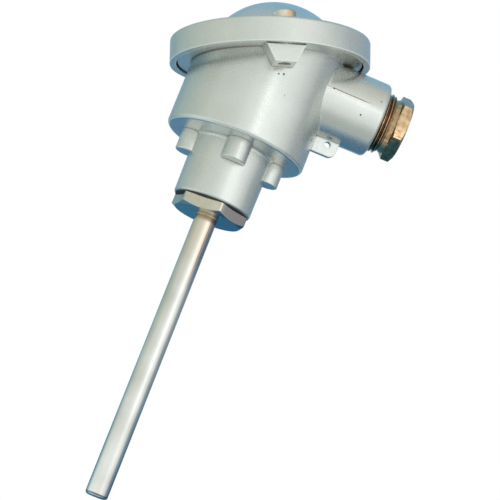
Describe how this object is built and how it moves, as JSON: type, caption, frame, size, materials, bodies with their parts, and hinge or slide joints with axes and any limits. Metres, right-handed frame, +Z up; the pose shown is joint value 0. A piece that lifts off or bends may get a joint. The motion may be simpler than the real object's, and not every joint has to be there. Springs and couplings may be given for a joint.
{
  "type": "resistance thermometer with connection head",
  "caption": "Straight-tube resistance thermometer with a slant-lidded die-cast connection head, cable gland and spring-loaded measuring insert.",
  "frame": {"origin": "on the probe's axis, where the protection tube leaves its weld collar under the hexagon", "axes": "+Z up the probe's axis into the head, +X out along the cable entry, +Y completes a right-handed set"},
  "size_m": [0.0998, 0.08, 0.2097],
  "materials": {
    "cast_head": "satin silver-grey painted die casting",
    "stainless": "polished drawn stainless tube",
    "plated_steel": "nickel-plated machined steel",
    "plated_brass": "nickel-plated brass, warm reflections",
    "brass": "bright turned brass",
    "spring_steel": "bright spring wire",
    "sheath_steel": "drawn steel sheath",
    "ceramic": "glazed steatite",
    "seal_rubber": "matt black rubber",
    "fibre_seal": "dark graphite-faced fibre",
    "red_insulation": "red wire sleeve",
    "white_insulation": "white wire sleeve"
  },
  "bodies": {
    "head": {"protection_tube": "stainless", "hex_fitting": "plated_steel", "neck_seal": "fibre_seal", "housing": "cast_head", "lid_gasket": "seal_rubber", "gland_washer_inner": "brass", "gland_seal": "seal_rubber", "earth_washer": "plated_steel", "earth_screw": "brass", "insert_screw_front": "plated_steel", "insert_screw_rear": "plated_steel"},
    "cover": {"lid": "cast_head"},
    "front_washer": {"lid_washer_front": "plated_steel"},
    "rear_washer": {"lid_washer_rear": "plated_steel"},
    "front_lid_screw": {"lid_screw_front": "plated_brass"},
    "rear_lid_screw": {"lid_screw_rear": "plated_brass"},
    "gland_ring": {"gland_washer_outer": "brass"},
    "pressure_screw": {"gland_screw": "plated_brass"},
    "insert": {"insert_sheath": "sheath_steel", "sensor_element": "ceramic", "insert_plate": "plated_steel", "terminal_block": "ceramic", "insert_spring_front": "spring_steel", "insert_spring_rear": "spring_steel", "terminal_1": "plated_brass", "terminal_2": "plated_brass", "terminal_3": "plated_brass", "terminal_4": "plated_brass", "lead_wire_1": "red_insulation", "lead_wire_2": "white_insulation", "lead_wire_3": "white_insulation", "lead_wire_4": "red_insulation"},
    "terminal_screw_1": {"terminal_screw_1": "plated_steel"},
    "terminal_screw_2": {"terminal_screw_2": "plated_steel"},
    "terminal_screw_3": {"terminal_screw_3": "plated_steel"},
    "terminal_screw_4": {"terminal_screw_4": "plated_steel"}
  },
  "joints": [
    {"name": "lid_lift", "type": "slide", "parent": "head", "child": "cover", "axis": [-0.3428, 0, 0.9394], "range_m": [0, 0.06]},
    {"name": "front_washer_rise", "type": "slide", "parent": "cover", "child": "front_washer", "axis": [-0.3428, 0, 0.9394], "range_m": [0, 0.012]},
    {"name": "front_screw_turn", "type": "hinge", "parent": "front_washer", "child": "front_lid_screw", "pos_m": [-0.00226, -0.0325, 0.07652], "axis": [-0.3428, 0, 0.9394], "range_deg": [0, 5400]},
    {"name": "rear_washer_rise", "type": "slide", "parent": "cover", "child": "rear_washer", "axis": [-0.3428, 0, 0.9394], "range_m": [0, 0.012]},
    {"name": "rear_screw_turn", "type": "hinge", "parent": "rear_washer", "child": "rear_lid_screw", "pos_m": [-0.00226, 0.0325, 0.07652], "axis": [-0.3428, 0, 0.9394], "range_deg": [0, 5400]},
    {"name": "gland_travel", "type": "slide", "parent": "head", "child": "gland_ring", "axis": [1, 0, 0], "range_m": [0, 0.01275]},
    {"name": "gland_turn", "type": "hinge", "parent": "gland_ring", "child": "pressure_screw", "pos_m": [0.0603, 0, 0.0634], "axis": [1, 0, 0], "range_deg": [0, 3060]},
    {"name": "insert_float", "type": "slide", "parent": "head", "child": "insert", "axis": [0, 0, 1], "range_m": [0, 0.006], "stiffness_N_per_m": 3000, "springref_m": -0.004, "deforming": ["insert_spring_front", "insert_spring_rear"]},
    {"name": "terminal_turn_1", "type": "hinge", "parent": "insert", "child": "terminal_screw_1", "pos_m": [0.01178, 0.0068, 0.0521], "axis": [0, 0, 1], "range_deg": [0, 1080]},
    {"name": "terminal_turn_2", "type": "hinge", "parent": "insert", "child": "terminal_screw_2", "pos_m": [-0.01178, 0.0068, 0.0521], "axis": [0, 0, 1], "range_deg": [0, 1080]},
    {"name": "terminal_turn_3", "type": "hinge", "parent": "insert", "child": "terminal_screw_3", "pos_m": [-0.01178, -0.0068, 0.0521], "axis": [0, 0, 1], "range_deg": [0, 1080]},
    {"name": "terminal_turn_4", "type": "hinge", "parent": "insert", "child": "terminal_screw_4", "pos_m": [0.01178, -0.0068, 0.0521], "axis": [0, 0, 1], "range_deg": [0, 1080]}
  ],
  "couplings": [
    {"joint": "front_screw_turn", "follows": "front_washer_rise", "rad_per_m": 7854},
    {"joint": "rear_screw_turn", "follows": "rear_washer_rise", "rad_per_m": 7854},
    {"joint": "gland_turn", "follows": "gland_travel", "rad_per_m": 4188.8}
  ]
}
